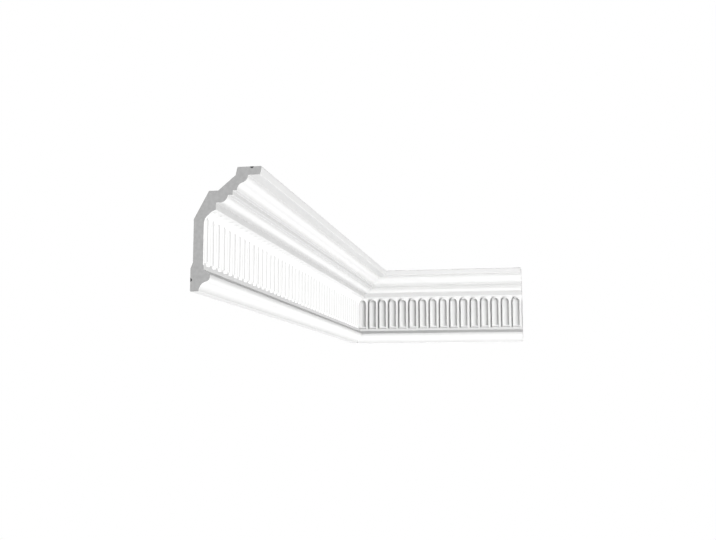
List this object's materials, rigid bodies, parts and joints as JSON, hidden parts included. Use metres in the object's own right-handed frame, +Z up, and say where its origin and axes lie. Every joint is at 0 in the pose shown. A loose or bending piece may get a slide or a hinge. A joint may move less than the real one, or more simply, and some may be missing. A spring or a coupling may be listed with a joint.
{
  "type": "fluted cornice moulding, mitred inside corner",
  "caption": "Two lengths of fluted ceiling cornice mitred round an inside corner, with cyma, ovolo and cove over a fluted band and a bead at the foot.",
  "frame": {"origin": "middle of the footprint's bounding box, on the bottom edge of the cornice, 150 mm below the ceiling", "axes": "+X along the return length away from the mitre, +Y along the long length towards the mitre, +Z up to the ceiling; the walls are the plane x = -0.1855 m behind the long length and the plane y = +0.530 m behind the return length"},
  "size_m": [0.371, 1.06, 0.15],
  "materials": {
    "primed_foam": "white factory primer on dense moulded polyurethane, smooth and matte"
  },
  "bodies": {
    "root": {"long_length": "primed_foam", "return_length": "primed_foam"}
  },
  "joints": []
}
